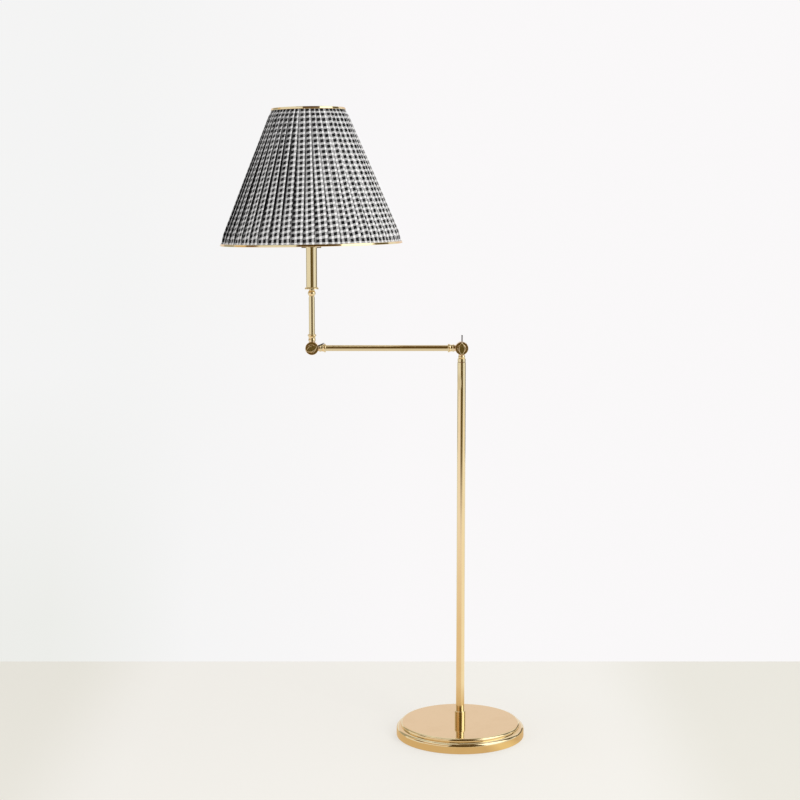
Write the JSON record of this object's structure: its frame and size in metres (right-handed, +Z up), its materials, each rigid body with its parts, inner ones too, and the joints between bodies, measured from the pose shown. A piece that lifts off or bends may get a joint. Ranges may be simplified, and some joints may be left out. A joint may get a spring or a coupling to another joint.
{
  "type": "floor lamp",
  "caption": "Brass floor lamp with a round stepped base, a level arm between clamped knuckles and a pleated gingham cone shade.",
  "frame": {"origin": "centre of the felt pad's underside, on the pole's axis at the floor", "axes": "+Z up along the pole; the arm points along -X at rest; the thumb keys face -Y"},
  "size_m": [0.6858, 0.4074, 1.4276],
  "materials": {
    "polished_brass": "polished",
    "brass_wire": "satin",
    "iron": "rough",
    "felt": "matt felt",
    "plated_steel": "zinc plated",
    "black_plastic": "matt",
    "lead_insulation": "satin",
    "fibre": "matt",
    "cap_metal": "satin",
    "bulb_glass": "frosted",
    "white_wire": "satin",
    "liner_film": "matt",
    "gingham": "woven check"
  },
  "bodies": {
    "stand": {"base_shell": "polished_brass", "base_weight": "iron", "base_pad": "felt", "base_washer": "plated_steel", "base_nut": "plated_steel", "base_nipple": "plated_steel", "base_sleeve": "polished_brass", "cord_bushing": "black_plastic", "pole_tube": "polished_brass", "pole_foot_plug": "plated_steel", "pole_bushing": "brass_wire", "pole_lead": "lead_insulation"},
    "pole_head": {"swivel_washer": "black_plastic", "swivel_cap": "polished_brass", "swivel_spindle": "plated_steel", "swivel_nut": "plated_steel", "pole_knuckle": "polished_brass", "arm_friction_washer": "fibre"},
    "arm": {"arm_knuckle": "polished_brass", "arm_collar_inner": "polished_brass", "arm_tube": "polished_brass", "arm_collar_outer": "polished_brass", "arm_lead": "lead_insulation", "elbow_knuckle": "polished_brass", "stem_friction_washer": "fibre"},
    "stem": {"stem_knuckle": "polished_brass", "stem_collar": "polished_brass", "stem_tube": "polished_brass", "stem_plug": "plated_steel", "stem_lead": "lead_insulation", "stem_ball": "polished_brass", "candle_dish": "polished_brass", "candle_sleeve": "polished_brass", "candle_nipple": "plated_steel", "harp_saddle": "polished_brass", "harp": "brass_wire", "harp_ferrules": "polished_brass", "harp_stud": "brass_wire", "finial": "polished_brass", "socket_cap": "polished_brass", "socket_shell": "polished_brass", "socket_body": "black_plastic", "socket_contact": "brass_wire", "socket_tip": "brass_wire", "bulb_cap": "cap_metal", "bulb_glass": "bulb_glass", "shade_spider": "white_wire", "shade_bottom_wire": "white_wire", "shade_liner": "liner_film", "shade_cover": "gingham", "shade_trim_top": "polished_brass", "shade_trim_bottom": "polished_brass"},
    "arm_thumb_key": {"arm_key": "polished_brass", "arm_key_screw": "polished_brass", "arm_key_washer": "polished_brass"},
    "stem_thumb_key": {"stem_key": "polished_brass", "stem_key_screw": "polished_brass", "stem_key_washer": "polished_brass"},
    "switch": {"switch_knob": "black_plastic", "switch_shaft": "black_plastic"}
  },
  "joints": [
    {"name": "arm_swing", "type": "hinge", "parent": "stand", "child": "pole_head", "pos_m": [0, 0, 0.862], "axis": [0, 0, 1], "range_deg": [-165, 165]},
    {"name": "arm_tilt", "type": "hinge", "parent": "pole_head", "child": "arm", "pos_m": [0, 0, 0.894], "axis": [0, 1, 0], "range_deg": [-20, 70]},
    {"name": "stem_tilt", "type": "hinge", "parent": "arm", "child": "stem", "pos_m": [-0.336, 0, 0.894], "axis": [0, 1, 0], "range_deg": [-110, 25]},
    {"name": "arm_key_turn", "type": "hinge", "parent": "pole_head", "child": "arm_thumb_key", "pos_m": [0, 0, 0.894], "axis": [0, -1, 0], "range_deg": [0, 180]},
    {"name": "stem_key_turn", "type": "hinge", "parent": "arm", "child": "stem_thumb_key", "pos_m": [-0.336, 0, 0.894], "axis": [0, -1, 0], "range_deg": [0, 180]},
    {"name": "switch_turn", "type": "hinge", "parent": "stem", "child": "switch", "pos_m": [-0.336, 0, 1.1427], "axis": [0, 1, 0], "continuous": true}
  ]
}
